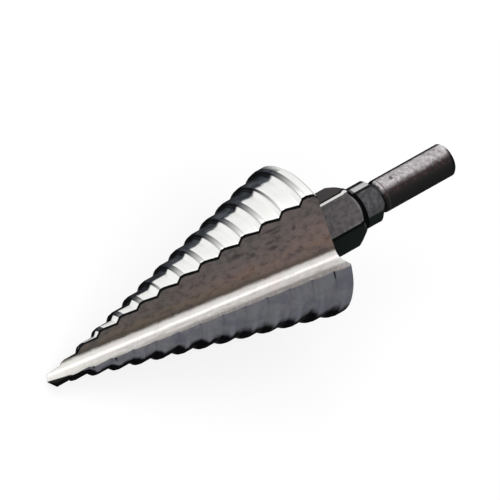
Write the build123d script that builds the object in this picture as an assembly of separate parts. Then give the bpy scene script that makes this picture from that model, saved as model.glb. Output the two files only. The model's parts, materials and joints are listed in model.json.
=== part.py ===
from build123d import *
from math import asin, atan, atan2, cos, pi, radians, sin, sqrt, tan
import os

# Step drill for sheet metal, turned, milled and ground from one bar.
# It is built on its own axis: point at the origin, shank towards +Z, cutting edge on the +X side,
# flute open on the -Y side. Seen from the shank it cuts clockwise. It is then laid down to rest.

INCH = 25.4

# Steps
STEP_COUNT = 13
FIRST_STEP_DIAMETER = 0.25 * INCH
STEP_DIAMETER_RISE = 0.125 * INCH
STEP_PITCH = 0.25 * INCH
RISER_ANGLE = 45.0
FIRST_CORNER_HEIGHT = 6.6
BEVEL_RISE = 0.25
BEVEL_LENGTH = 1.1
LAST_LAND_LENGTH = 3.9
REAR_EDGE_BREAK = 0.7

# Pilot point
PILOT_DIAMETER = 0.1875 * INCH
POINT_HALF_ANGLE = 56.7
POINT_LEAN = 9.8
POINT_LEAN_TURN = -70.0
POINT_GRIND_SPREAD = 3.0

# Relief: the lands are spirals that fall behind the cutting edge
RELIEF_FALL = 0.012
RELIEF_SPAN = 315.0
SPIRAL_POINTS = 31

# Flute: a V groove with an axial rake face, a heel wall and a rounded root
HEEL_WALL_ANGLE = 101.0
ROOT_SLOPE = 0.21
ROOT_CROSSING_HEIGHT = 13.5
ROOT_ROUND_RADIUS = 2.5
FLUTE_REACH = 40.0
FLUTE_RUN_OUT = 5.0

# Hex for a wrench
HEX_ACROSS_FLATS = 0.625 * INCH
HEX_LENGTH = 16.2
HEX_TURN = -38.9
HEX_CHAMFER_ANGLE = 33.0
HEX_END_RADIUS = 7.0

# Collar with three flats
COLLAR_DIAMETER = 12.35
COLLAR_LENGTH = 8.1
COLLAR_SHOULDER_LENGTH = 1.2
COLLAR_CHAMFER = 2.1
FLAT_COUNT = 3
FLAT_DISTANCE = 4.87
FLAT_TURN = -33.0

# Neck and shank
NECK_DIAMETER = 7.4
NECK_LENGTH = 0.3
SHANK_DIAMETER = 0.375 * INCH
SHANK_FRONT_ROUND = 0.9
SHANK_REAR_CHAMFER = 0.8
OVERALL_LENGTH = 135.2

# Worked out from the above
PILOT_RADIUS = PILOT_DIAMETER / 2
RELIEF_RATE = RELIEF_FALL / radians(RELIEF_SPAN)
LAST_STEP_RADIUS = (FIRST_STEP_DIAMETER + STEP_DIAMETER_RISE * (STEP_COUNT - 1)) / 2
LAST_CORNER_HEIGHT = FIRST_CORNER_HEIGHT + STEP_PITCH * (STEP_COUNT - 1)
LAST_LAND_HEIGHT = LAST_CORNER_HEIGHT + BEVEL_LENGTH
CONE_REAR_HEIGHT = LAST_CORNER_HEIGHT + LAST_LAND_LENGTH
COLLAR_HEIGHT = CONE_REAR_HEIGHT + HEX_LENGTH
FLAT_HEIGHT = COLLAR_HEIGHT + COLLAR_SHOULDER_LENGTH
NECK_HEIGHT = COLLAR_HEIGHT + COLLAR_LENGTH
SHANK_HEIGHT = NECK_HEIGHT + NECK_LENGTH


def step_stations():
    """Heights and radii along the cutting edge, from the point to the rear of the last land."""
    stations = [(0.0, PILOT_RADIUS)]
    land_radius = PILOT_RADIUS
    for step in range(STEP_COUNT):
        corner_radius = (FIRST_STEP_DIAMETER + STEP_DIAMETER_RISE * step) / 2
        corner_height = FIRST_CORNER_HEIGHT + STEP_PITCH * step
        bevel_radius = corner_radius - BEVEL_RISE
        riser_length = (bevel_radius - land_radius) / tan(radians(RISER_ANGLE))
        stations.append((corner_height - riser_length, land_radius))
        stations.append((corner_height, bevel_radius))
        stations.append((corner_height + BEVEL_LENGTH, corner_radius))
        land_radius = corner_radius
    stations.append((CONE_REAR_HEIGHT - REAR_EDGE_BREAK, land_radius))
    stations.append((CONE_REAR_HEIGHT, land_radius - REAR_EDGE_BREAK))
    return stations


def relieved_section(height, radius):
    """Section of the body: a falling spiral, closed by a chord that the flute takes away."""
    points = []
    for index in range(SPIRAL_POINTS):
        angle = radians(RELIEF_SPAN) * index / (SPIRAL_POINTS - 1)
        fallen_radius = radius * (1 - RELIEF_RATE * angle)
        points.append((fallen_radius * cos(angle), fallen_radius * sin(angle), height))
    spiral = Spline(*points)
    chord = Line(points[-1], points[0])
    return make_face(Wire([spiral, chord]))


def stepped_cone():
    """Relieved lands with their risers and bevels, as one ruled loft from pilot to rear face."""
    return loft([relieved_section(height, radius) for height, radius in step_stations()], ruled=True)


def point_axis():
    """Axis of the point's cone, leaning towards the flute so that the lip has relief behind it."""
    lean = radians(POINT_LEAN)
    turn = radians(POINT_LEAN_TURN)
    return Vector(sin(lean) * cos(turn), sin(lean) * sin(turn), cos(lean))


def point_grind():
    """What is ground away to leave the leaning conical point."""
    reach = POINT_GRIND_SPREAD * PILOT_RADIUS
    depth = reach / tan(radians(POINT_HALF_ANGLE))
    outline = Polyline((0, 0, 0), (reach, 0, depth), (reach, 0, -reach), (0, 0, -reach), close=True)
    leaning = Plane(origin=(0, 0, 0), z_dir=point_axis())
    return leaning.location * revolve(make_face(outline), Axis.Z)


def pilot_corner_height(angle):
    """Height at which the point's cone meets the pilot land, at an angle behind the lip."""
    lean = point_axis()
    across = lean.X * cos(angle) + lean.Y * sin(angle)
    spread = cos(radians(POINT_HALF_ANGLE)) ** 2
    a = lean.Z**2 - spread
    b = across * lean.Z
    c = across**2 - spread
    return PILOT_RADIUS * (sqrt(b**2 - a * c) - b) / a


def flute():
    """V groove milled along the slanting root line, running out past the point and the rear."""
    root_x = ROOT_SLOPE * (-FLUTE_RUN_OUT - ROOT_CROSSING_HEIGHT)
    wall_x = FLUTE_REACH * cos(radians(HEEL_WALL_ANGLE))
    wall_y = -FLUTE_REACH * sin(radians(HEEL_WALL_ANGLE))
    root = Vector(root_x, 0, -FLUTE_RUN_OUT)
    groove = Polyline(
        root,
        root + Vector(FLUTE_REACH, 0, 0),
        root + Vector(FLUTE_REACH, wall_y, 0),
        root + Vector(wall_x, wall_y, 0),
        close=True,
    )
    profile = make_face(groove)
    root_corner = profile.vertices().sort_by_distance(root)[0]
    profile = fillet(root_corner, ROOT_ROUND_RADIUS)
    slant = Vector(ROOT_SLOPE, 0, 1)
    run = (CONE_REAR_HEIGHT + 2 * FLUTE_RUN_OUT) * slant.length
    return extrude(profile, run, dir=slant)


def hex_section():
    """Hexagon behind the cone, with its rear corners turned off like a nut."""
    blank = extrude(RegularPolygon(HEX_ACROSS_FLATS / 2, 6, major_radius=False, rotation=30), HEX_LENGTH)
    corner_radius = HEX_ACROSS_FLATS / 2 / cos(pi / 6)
    taper = (corner_radius - HEX_END_RADIUS) / tan(radians(HEX_CHAMFER_ANGLE))
    envelope = Polyline(
        (0, 0, 0),
        (corner_radius, 0, 0),
        (corner_radius, 0, HEX_LENGTH - taper),
        (HEX_END_RADIUS, 0, HEX_LENGTH),
        (0, 0, HEX_LENGTH),
        close=True,
    )
    turned = blank & revolve(make_face(envelope), Axis.Z)
    return Pos(0, 0, CONE_REAR_HEIGHT) * Rot(0, 0, HEX_TURN) * turned


def collar():
    """Round collar with a shoulder at the hex, three milled flats and a chamfered rear."""
    radius = COLLAR_DIAMETER / 2
    end_radius = radius - COLLAR_CHAMFER
    outline = Polyline(
        (0, 0, COLLAR_HEIGHT),
        (radius, 0, COLLAR_HEIGHT),
        (radius, 0, NECK_HEIGHT - COLLAR_CHAMFER),
        (end_radius, 0, NECK_HEIGHT),
        (0, 0, NECK_HEIGHT),
        close=True,
    )
    blank = revolve(make_face(outline), Axis.Z)
    milled = Pos(FLAT_DISTANCE, 0, FLAT_HEIGHT) * Box(
        COLLAR_DIAMETER,
        COLLAR_DIAMETER,
        COLLAR_LENGTH,
        align=(Align.MIN, Align.CENTER, Align.MIN),
    )
    return blank - [Rot(0, 0, FLAT_TURN + 360 / FLAT_COUNT * index) * milled for index in range(FLAT_COUNT)]


def shank():
    """Turned neck, rounded front corner, plain cylinder and rear chamfer."""
    neck_radius = NECK_DIAMETER / 2
    radius = SHANK_DIAMETER / 2
    front_radius = radius - SHANK_FRONT_ROUND
    round_centre = SHANK_HEIGHT + SHANK_FRONT_ROUND
    half = SHANK_FRONT_ROUND * sin(pi / 4)
    outline = [
        Line((0, 0, NECK_HEIGHT), (neck_radius, 0, NECK_HEIGHT)),
        Line((neck_radius, 0, NECK_HEIGHT), (neck_radius, 0, SHANK_HEIGHT)),
        Line((neck_radius, 0, SHANK_HEIGHT), (front_radius, 0, SHANK_HEIGHT)),
        ThreePointArc(
            (front_radius, 0, SHANK_HEIGHT),
            (front_radius + half, 0, round_centre - half),
            (radius, 0, round_centre),
        ),
        Polyline(
            (radius, 0, round_centre),
            (radius, 0, OVERALL_LENGTH - SHANK_REAR_CHAMFER),
            (radius - SHANK_REAR_CHAMFER, 0, OVERALL_LENGTH),
            (0, 0, OVERALL_LENGTH),
            (0, 0, NECK_HEIGHT),
        ),
    ]
    return revolve(make_face(outline), Axis.Z)


def upright_drill():
    """The whole drill on its own axis."""
    cone = stepped_cone() - point_grind() - flute()
    return cone + hex_section() + collar() + shank()


def resting_plane(drill):
    """The surface that the drill lies on, touching the pilot corner and the last step.

    It rolls until its centre of mass is lowest: nearly under the axis, a little further round
    from the cutting edge because the lands fall away there.
    """
    centre = drill.center(CenterOf.MASS)
    heavy_side = atan2(centre.Y, centre.X)
    pilot_height = pilot_corner_height(heavy_side)
    slope = (LAST_STEP_RADIUS - PILOT_RADIUS) / (LAST_LAND_HEIGHT - pilot_height)
    line_radius = PILOT_RADIUS + (centre.Z - pilot_height) * slope
    roll = heavy_side + asin(RELIEF_RATE * line_radius / Vector(centre.X, centre.Y, 0).length)
    pitch = atan(slope * (1 - RELIEF_RATE * roll))
    outward = Vector(cos(roll), sin(roll), 0)
    axis = Vector(0, 0, 1)
    along = axis * cos(pitch) + outward * sin(pitch)
    up = axis * sin(pitch) - outward * cos(pitch)
    return Plane(origin=(0, 0, 0), x_dir=along, z_dir=up)


def lay_down(drill):
    """Rest the drill on the ground, with the origin under the middle of its box."""
    resting = resting_plane(drill).to_local_coords(drill)
    box = resting.bounding_box()
    return Pos(-box.center().X, -box.center().Y, -box.min.Z) * resting


step_drill = lay_down(upright_drill())
os.makedirs("parts", exist_ok=True)
export_step(step_drill, "parts/step_drill.step")
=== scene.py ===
"""A step drill with a bright ground cone, one straight flute and a black hex, collar and shank."""

import json
from math import atan2, cos, degrees, hypot, pi, radians, sin, sqrt, tan

import bmesh
import bpy
from bpy.props import (
    FloatProperty,
    FloatVectorProperty,
    IntProperty,
    PointerProperty,
)
from mathutils import Matrix, Vector


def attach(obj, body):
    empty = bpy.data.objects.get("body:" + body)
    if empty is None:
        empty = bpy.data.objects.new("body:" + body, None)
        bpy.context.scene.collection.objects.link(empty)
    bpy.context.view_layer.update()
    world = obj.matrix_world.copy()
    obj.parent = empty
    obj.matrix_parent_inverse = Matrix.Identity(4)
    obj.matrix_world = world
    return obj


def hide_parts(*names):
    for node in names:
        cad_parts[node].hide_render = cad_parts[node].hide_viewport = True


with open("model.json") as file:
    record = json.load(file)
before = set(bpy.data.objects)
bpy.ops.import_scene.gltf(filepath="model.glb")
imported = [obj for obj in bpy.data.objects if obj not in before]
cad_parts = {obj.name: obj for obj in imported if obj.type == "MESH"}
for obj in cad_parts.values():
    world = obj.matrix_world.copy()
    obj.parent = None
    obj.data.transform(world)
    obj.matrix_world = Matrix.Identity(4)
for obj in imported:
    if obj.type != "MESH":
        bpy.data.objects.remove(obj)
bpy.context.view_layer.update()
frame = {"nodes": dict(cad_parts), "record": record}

bl_info = {
    "name": "Step Drill",
    "version": (1, 0, 0),
    "blender": (4, 5, 0),
    "location": "3D View > Sidebar > Step Drill",
    "description": "Builds a step drill, its finishes and a plain studio around the packed part",
    "category": "Object",
}

MM = 0.001
NODE = "step_drill"
BODY = "root"


def length(name, millimetres, description):
    """A length property, with its default given in millimetres."""
    return FloatProperty(
        name=name,
        description=description,
        default=millimetres * MM,
        precision=5,
        unit="LENGTH",
    )


def angle(name, value, description):
    """An angle property, with its default given in degrees."""
    return FloatProperty(
        name=name, description=description, default=radians(value), unit="ROTATION"
    )


def colour(name, rgb, description):
    """A colour property."""
    return FloatVectorProperty(
        name=name,
        description=description,
        default=rgb,
        size=3,
        min=0.0,
        max=1.0,
        subtype="COLOR",
    )


def share(name, value, description):
    """A plain number from 0 to 1."""
    return FloatProperty(
        name=name, description=description, default=value, min=0.0, max=1.0
    )


class StepDrillSizes(bpy.types.PropertyGroup):
    """Sizes of the drill on its own axis: point at the origin, shank towards +Z."""

    step_count: IntProperty(
        name="Steps", description="Number of stepped diameters", default=13, min=1
    )
    first_diameter: length("First step", 6.35, "Diameter of the first step")
    diameter_rise: length("Diameter rise", 3.175, "Growth in diameter per step")
    step_pitch: length("Step pitch", 6.35, "Distance along the axis per step")
    riser_angle: angle("Riser angle", 45.0, "Slope of each riser to the axis")
    first_corner: length("First corner", 6.6, "Height of the first step's front corner")
    bevel_rise: length("Bevel rise", 0.25, "Height of the narrow bevel behind a riser")
    bevel_length: length("Bevel length", 1.1, "Length of the narrow bevel")
    last_land: length("Last land", 3.9, "Length of the last land behind its corner")
    rear_break: length("Rear edge", 0.7, "Size of the chamfer round the cone's rear")
    pilot_diameter: length("Pilot", 4.7625, "Diameter of the pilot behind the point")
    point_half_angle: angle("Point half angle", 56.7, "Half angle of the point's cone")
    point_lean: angle("Point lean", 9.8, "Tilt of the point's cone off the axis")
    point_lean_turn: angle("Point lean turn", -70.0, "Direction of that tilt")
    relief_fall: share("Relief fall", 0.012, "Share of its radius that a land falls by")
    relief_span: angle("Relief span", 315.0, "Turn over which a land falls")
    heel_wall_angle: angle("Heel wall", 101.0, "Angle of the heel wall to the rake face")
    root_slope: FloatProperty(
        name="Root slope", description="Slant of the flute's root", default=0.21
    )
    root_crossing: length("Root crossing", 13.5, "Height at which the root meets the axis")
    root_round: length("Root round", 2.5, "Radius of the flute's root")
    hex_flats: length("Hex", 15.875, "Size across the flats of the hex")
    hex_length: length("Hex length", 16.2, "Length of the hex behind the cone")
    hex_turn: angle("Hex turn", -38.9, "Turn of the hex about the axis")
    hex_chamfer: angle("Hex chamfer", 33.0, "Slope of the turned rear of the hex")
    hex_end_radius: length("Hex end", 7.0, "Radius of the hex's rear face")
    collar_diameter: length("Collar", 12.35, "Diameter of the collar")
    collar_length: length("Collar length", 8.1, "Length of the collar")
    collar_shoulder: length("Shoulder", 1.2, "Round part of the collar before its flats")
    collar_chamfer: length("Collar chamfer", 2.1, "Chamfer at the collar's rear")
    flat_count: IntProperty(
        name="Flats", description="Number of flats round the collar", default=3
    )
    flat_distance: length("Flat distance", 4.87, "Distance of each flat from the axis")
    flat_turn: angle("Flat turn", -33.0, "Turn of the flats about the axis")
    neck_diameter: length("Neck", 7.4, "Diameter of the groove before the shank")
    neck_length: length("Neck length", 0.3, "Length of that groove")
    shank_diameter: length("Shank", 9.525, "Diameter of the shank")
    shank_round: length("Shank round", 0.9, "Radius of the shank's front corner")
    shank_chamfer: length("Shank chamfer", 0.8, "Chamfer at the shank's rear")
    overall_length: length("Overall length", 135.2, "Length from point to shank end")
    edge_break: length("Edge break", 0.12, "Worn rounding along sharp edges")
    lip_break: length("Lip break", 0.05, "Worn rounding along the cutting edge")
    foot_round: length("Foot round", 0.4, "Rounding at the foot of each riser")

    @property
    def pilot_radius(self):
        return self.pilot_diameter / 2

    @property
    def last_radius(self):
        return (self.first_diameter + self.diameter_rise * (self.step_count - 1)) / 2

    @property
    def last_corner(self):
        return self.first_corner + self.step_pitch * (self.step_count - 1)

    @property
    def cone_rear(self):
        return self.last_corner + self.last_land

    @property
    def collar_start(self):
        return self.cone_rear + self.hex_length

    @property
    def neck_start(self):
        return self.collar_start + self.collar_length

    @property
    def shank_start(self):
        return self.neck_start + self.neck_length


class StepDrillFinish(bpy.types.PropertyGroup):
    """Main colours of the finishes and the studio."""

    # Painted bright reflection on the lands towards the heel.
    land: colour("Land", (0.93, 0.93, 0.91), "Bright ground lands")
    land_mid: colour("Land, mid tone", (0.36, 0.36, 0.365), "Lands on the far side of the cone")
    # Painted grey reflection on the lands behind the cutting edge.
    land_grey_reflection: colour("Land, grey", (0.170, 0.171, 0.188), "Grey lands behind the cutting edge")
    # Painted dark reflection band along the lands; also the tone of the fine grinding lines.
    land_dark_reflection_and_lines: colour("Land, dark", (0.036, 0.040, 0.047), "Dark band along the lands")
    # Black for the border along the heel edge and for nicks; also painted shade and dark
    # reflections.
    black: colour("Black", (0.0035, 0.0035, 0.004), "Black burr lines and deepest bands")
    wall: colour("Flute wall", (0.136, 0.107, 0.104), "Satin heel wall of the flute")
    wall_grey: colour("Flute wall, grey", (0.086, 0.083, 0.080), "Greyer parts of the heel wall")
    wall_brown: colour("Flute wall, brown", (0.215, 0.142, 0.122), "Brown temper tint by the root")
    wall_straw: colour("Flute wall, straw", (0.118, 0.096, 0.068), "Straw tint towards the point")
    wall_smear: colour("Flute wall, smear", (0.078, 0.060, 0.064), "Dark smears on the heel wall")
    rake: colour("Rake face", (0.74, 0.745, 0.715), "Polished root of the flute")
    rake_dull: colour("Rake face, dull", (0.86, 0.83, 0.81), "Duller streaks on the rake face")
    oxide: colour("Black oxide", (0.098, 0.089, 0.092), "Black oxide in the light")
    # Painted shade: darker, browner oxide for the hex face at the top.
    oxide_shaded_top: colour("Black oxide, brown", (0.066, 0.060, 0.061), "Browner oxide at the side")
    # Deepest black oxide; also painted shade on the hex's lower face, the lower edge of the
    # collar's flats and the lower side of its rear chamfer.
    oxide_black_and_shade: colour("Black oxide, deep", (0.0125, 0.0165, 0.0155), "Deep black oxide")
    # Painted highlight along the shank's upper side.
    oxide_highlight: colour("Black oxide, shine", (0.50, 0.47, 0.475), "Rubbed shine along the shank")
    # Painted highlight along the hex's upper corner.
    edge: colour("Worn edge", (0.80, 0.78, 0.76), "Bare steel along a worn edge")
    floor: colour("Floor", (0.86, 0.86, 0.86), "Plain pale floor")


# Placing


def drill_frame(sizes):
    """Matrix from the drill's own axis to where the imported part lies.

    The shank's mount gives the axis. The flute is the widest gap round the last land, and the
    cutting edge is where that land starts again.
    """
    mount = next(m for m in frame["record"]["mounts"] if m["name"] == "shank")
    axis = Vector(mount["axis"]).normalized()
    half_pin = mount["dims"]["length_mm"] * MM / 2
    pin_middle = sizes.overall_length - sizes.shank_chamfer - half_pin
    point = Vector(mount["pos_m"]) - axis * pin_middle
    across = axis.cross(Vector((0, 0, 1))).normalized()
    above = axis.cross(across)
    rim_radius = sizes.last_radius * (1 - 2 * sizes.relief_fall)
    turns = []
    for vertex in frame["nodes"][NODE].data.vertices:
        arm = vertex.co - point
        x, y = arm.dot(across), arm.dot(above)
        if hypot(x, y) > rim_radius:
            turns.append(atan2(y, x))
    turns.sort()
    gaps = [(after - before) % (2 * pi) for before, after in zip(turns[-1:] + turns, turns)]
    lip_turn = turns[gaps.index(max(gaps))]
    lip = across * cos(lip_turn) + above * sin(lip_turn)
    turn = Matrix((lip, axis.cross(lip), axis)).transposed()
    return Matrix.Translation(point) @ turn.to_4x4()


def dress(piece):
    """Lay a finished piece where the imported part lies, in the stead of its plain solid.

    Each point keeps its place on the drill's own axis, which the finishes are laid out on.
    """
    mesh = piece.data
    own = mesh.attributes.new("own_place", "FLOAT_VECTOR", "POINT")
    for index, vertex in enumerate(mesh.vertices):
        own.data[index].vector = vertex.co
    mesh.transform(drill_frame(bpy.context.scene.step_drill_sizes))
    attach(piece, BODY)
    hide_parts(NODE)


# Meshes

# Edges that turn by more than this are broken, and are kept as edges in the shading.
SHARP_EDGE = radians(28.0)
# Greatest share of a side that the rounding at its end may take.
ROUNDING_SHARE = 0.45
# How far one piece runs into the piece before it.
SUNK = 0.5 * MM


def new_object(name, data):
    """Object in the scene."""
    made = bpy.data.objects.new(name, data)
    bpy.context.scene.collection.objects.link(made)
    return made


def mesh_from(bm, name):
    """Mesh of a finished shape."""
    mesh = bpy.data.meshes.new(name)
    bm.to_mesh(mesh)
    bm.free()
    return mesh


def closed_mesh(bm, name):
    """Mesh of a closed shape, with its faces turned outwards."""
    bmesh.ops.recalc_face_normals(bm, faces=bm.faces)
    return mesh_from(bm, name)


def weigh_normals(piece):
    """Shade a piece by its large faces, up to its sharp edges."""
    normals = piece.modifiers.new("weighted_normals", "WEIGHTED_NORMAL")
    normals.keep_sharp = True


def mesh_object(name, mesh, materials, smooth_angle=35.0):
    """Object with its materials, smooth faces and area-weighted normals."""
    for material in materials:
        mesh.materials.append(material)
    piece = new_object(name, mesh)
    mesh.shade_smooth()
    mesh.set_sharp_from_angle(angle=radians(smooth_angle))
    weigh_normals(piece)
    return piece


def bevelled(piece, width, segments=2):
    """Break the sharp edges of a piece before its normals are weighted."""
    bevel = piece.modifiers.new("edge_break", "BEVEL")
    bevel.width = width
    bevel.segments = segments
    bevel.limit_method = "ANGLE"
    bevel.angle_limit = SHARP_EDGE
    bevel.harden_normals = False
    piece.modifiers.move(len(piece.modifiers) - 1, 0)
    return piece


def rounded(points, radius, steps=3):
    """Open outline of (height, radius) points with each inner corner turned into a small arc."""
    out = [points[0]]
    for before, corner, after in zip(points, points[1:], points[2:]):
        here = Vector(corner)
        back = Vector(before) - here
        ahead = Vector(after) - here
        room = min(back.length, ahead.length) * ROUNDING_SHARE
        trim = min(room, radius(back, ahead) / tan(back.angle(ahead) / 2))
        start = here + back.normalized() * trim
        end = here + ahead.normalized() * trim
        for index in range(steps + 1):
            t = index / steps
            spot = start * (1 - t) ** 2 + here * 2 * t * (1 - t) + end * t**2
            out.append(tuple(spot))
    out.append(points[-1])
    return out


def skin(bm, rings):
    """Join each ring to the next. Gives each face with its place round the ring."""
    faces = []
    for lower, upper in zip(rings, rings[1:]):
        for k in range(len(lower)):
            after = (k + 1) % len(lower)
            corners = dict.fromkeys((lower[k], lower[after], upper[after], upper[k]))
            faces.append((k, bm.faces.new(list(corners))))
    return faces


def lathe(name, outline, materials, segments=160):
    """Closed solid turned from an outline of (height, radius) points, from axis to axis."""
    bm = bmesh.new()
    spokes = [2 * pi * k / segments for k in range(segments)]
    rings = []
    for height, radius in outline:
        if radius > 0:
            ring = [bm.verts.new((radius * cos(a), radius * sin(a), height)) for a in spokes]
        else:
            ring = [bm.verts.new((0, 0, height))] * segments
        rings.append(ring)
    skin(bm, rings)
    return mesh_object(name, closed_mesh(bm, name), materials)


# The stepped cone

# Places of the cone's materials.
LAND, FLUTE, REAR = 0, 1, 2
# Columns of faces round the land, down the heel wall, round the root and along the rake face.
LAND_COLUMNS = 120
WALL_COLUMNS = 22
ROUND_COLUMNS = 12
RAKE_COLUMNS = 10
# Rows of the point, from its tip outwards, and of the pilot, from its edge to the first riser.
POINT_ROWS = (0.01, 0.1, 0.25, 0.4, 0.55, 0.7, 0.85, 0.95, 0.985)
PILOT_ROWS = (0.02, 0.08, 0.2, 0.4, 0.6, 0.8)
# Stretch of pilot before the first riser that the rounding of the riser's foot may use.
PILOT_LEAD = 0.5 * MM
# Turns between which a land runs out at the heel, and how often that span is halved to find it.
HEEL_SPAN = (radians(150.0), radians(358.0))
HEEL_HALVINGS = 40
# A worn edge takes no more than this share of the flute's width, or this turn of a land in
# radians.
WORN_SHARE = 0.2
WORN_TURN = 0.1
# Points closer than this are one.
WELD = 0.0008 * MM


def cone_outline(sizes):
    """Heights and radii of the cutting edge, from the first riser to the rear face."""
    points = []
    land_radius = sizes.pilot_radius
    for step in range(sizes.step_count):
        corner_radius = (sizes.first_diameter + sizes.diameter_rise * step) / 2
        corner = sizes.first_corner + sizes.step_pitch * step
        bevel_radius = corner_radius - sizes.bevel_rise
        riser = (bevel_radius - land_radius) / tan(sizes.riser_angle)
        points.append((corner - riser, land_radius))
        points.append((corner, bevel_radius))
        points.append((corner + sizes.bevel_length, corner_radius))
        land_radius = corner_radius
    points.append((sizes.cone_rear - sizes.rear_break, land_radius))
    points.append((sizes.cone_rear, land_radius - sizes.rear_break))
    return points


def relieved(sizes, radius, turn):
    """Radius of a land some way round behind the cutting edge."""
    return radius * (1 - sizes.relief_fall * turn / sizes.relief_span)


def point_height(sizes, turn):
    """Height of the point's cone for each unit of radius, at an angle behind the cutting edge.

    Every line from the tip along the cone is at the half angle to the cone's leaning axis, which
    gives a quadratic equation for the height.
    """
    lean = sizes.point_lean
    across = sin(lean) * cos(turn - sizes.point_lean_turn)
    spread = cos(sizes.point_half_angle) ** 2
    a = cos(lean) ** 2 - spread
    b = across * cos(lean)
    c = across**2 - spread
    return (sqrt(b**2 - a * c) - b) / a


def root_offset(sizes, height):
    """Distance of the flute's root from the axis, towards the cutting edge."""
    return sizes.root_slope * (height - sizes.root_crossing)


def root_trim(sizes):
    """Distance from the sharp root to where its rounding starts."""
    return sizes.root_round / tan(sizes.heel_wall_angle / 2)


def root_sweep(sizes):
    """Turn of the root's rounding."""
    return pi - sizes.heel_wall_angle


def wall_direction(sizes):
    """Direction of the heel wall, from the root outwards, across the axis."""
    return Vector((cos(sizes.heel_wall_angle), -sin(sizes.heel_wall_angle)))


def in_flute(sizes, x, y, height):
    """True where a point lies in the open groove."""
    across = x - root_offset(sizes, height)
    wall = wall_direction(sizes)
    if y >= 0 or wall.x * y - wall.y * across <= 0:
        return False
    trim = root_trim(sizes)
    in_corner = across <= trim and across * wall.x + y * wall.y <= trim
    from_centre = hypot(across - trim, y + sizes.root_round)
    return not (in_corner and from_centre > sizes.root_round)


def heel_turn(sizes, place):
    """Angle at which a row of the body, given by place(turn), runs out into the flute."""
    low, high = HEEL_SPAN
    for _ in range(HEEL_HALVINGS):
        middle = (low + high) / 2
        radius, height = place(middle)
        if in_flute(sizes, radius * cos(middle), radius * sin(middle), height):
            high = middle
        else:
            low = middle
    return low


def flute_curve(sizes, past_wall):
    """Point of the flute's section, relative to its sharp root.

    It is found by its distance past the place where the heel wall runs into the root round.
    """
    trim = root_trim(sizes)
    wall = wall_direction(sizes)
    if past_wall <= 0:
        return wall * (trim - past_wall)
    turned = past_wall / sizes.root_round
    sweep = root_sweep(sizes)
    if turned < sweep:
        spoke = pi / 2 + sweep - turned
        centre = Vector((trim, -sizes.root_round))
        return centre + Vector((cos(spoke), sin(spoke))) * sizes.root_round
    return Vector((trim + past_wall - sweep * sizes.root_round, 0.0))


def flute_distance(sizes, spot):
    """How far past the heel wall a point on the flute lies."""
    trim = root_trim(sizes)
    wall = wall_direction(sizes)
    sweep = root_sweep(sizes)
    across = spot.x - root_offset(sizes, spot.z)
    if across >= trim:
        return across - trim + sweep * sizes.root_round
    down = across * wall.x + spot.y * wall.y
    if down >= trim:
        return trim - down
    spoke = atan2(spot.y + sizes.root_round, across - trim)
    return (pi / 2 + sweep - spoke) * sizes.root_round


def flute_points(sizes, heel, lip):
    """Points from the heel, down the wall, round the root and out along the rake face."""
    start = flute_distance(sizes, heel)
    end = flute_distance(sizes, lip)
    end -= min(sizes.lip_break, WORN_SHARE * (end - start))
    start += min(sizes.edge_break, WORN_SHARE * (end - start))
    round_start = min(max(0.0, start), end)
    sweep = root_sweep(sizes)
    round_end = min(max(sweep * sizes.root_round, start), end)
    stations = []
    for first, last, columns in (
        (start, round_start, WALL_COLUMNS),
        (round_start, round_end, ROUND_COLUMNS),
        (round_end, end, RAKE_COLUMNS),
    ):
        for index in range(columns):
            stations.append(first + (last - first) * index / columns)
    stations.append(end)
    out = []
    for past_wall in stations:
        reached = (past_wall - start) / (end - start)
        height = heel.z + (lip.z - heel.z) * reached
        spot = flute_curve(sizes, past_wall)
        x = spot.x + root_offset(sizes, height)
        out.append((Vector((x, spot.y, height)), past_wall))
    return out


def cone_row(sizes, place):
    """One closed row of points: the land from lip to heel, then the flute back to the lip."""
    heel_at = heel_turn(sizes, place)
    lip_radius, lip_height = place(0.0)
    heel_radius, heel_height = place(heel_at)
    start = min(sizes.lip_break / lip_radius, WORN_TURN)
    end = heel_at - min(sizes.edge_break / heel_radius, WORN_TURN)
    row = []
    for index in range(LAND_COLUMNS + 1):
        turn = start + (end - start) * index / LAND_COLUMNS
        radius, height = place(turn)
        spot = Vector((radius * cos(turn), radius * sin(turn), height))
        row.append((spot, 0.0, (heel_at - turn) * radius))
    heel = Vector((heel_radius * cos(heel_at), heel_radius * sin(heel_at), heel_height))
    lip = Vector((lip_radius, 0.0, lip_height))
    for spot, past_wall in flute_points(sizes, heel, lip):
        row.append((spot, past_wall, (spot - heel).length))
    return row


def cone_rows(sizes):
    """Every row of the cone, from the point to the rear face.

    Each row has a function that gives its radius and height at a turn behind the cutting edge.
    """
    rows = []
    pilot = sizes.pilot_radius
    outline = cone_outline(sizes)

    def tip(reach):
        def place(turn):
            radius = relieved(sizes, pilot, turn)
            return reach * radius, reach * radius * point_height(sizes, turn)

        return place

    def pilot_land(reach):
        def place(turn):
            radius = relieved(sizes, pilot, turn)
            edge = radius * point_height(sizes, turn)
            return radius, edge + (outline[0][0] - edge) * reach

        return place

    def ring(height, radius):
        return lambda turn: (relieved(sizes, radius, turn), height)

    for reach in POINT_ROWS:
        rows.append(cone_row(sizes, tip(reach)))
    for reach in PILOT_ROWS:
        rows.append(cone_row(sizes, pilot_land(reach)))

    def corner_radius(back, ahead):
        hollow = back.x * ahead.y - back.y * ahead.x < 0
        return sizes.foot_round if hollow else sizes.edge_break

    below_riser = (outline[0][0] - PILOT_LEAD, pilot)
    for height, radius in rounded([below_riser] + outline, corner_radius):
        rows.append(cone_row(sizes, ring(height, radius)))
    return rows


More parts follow.
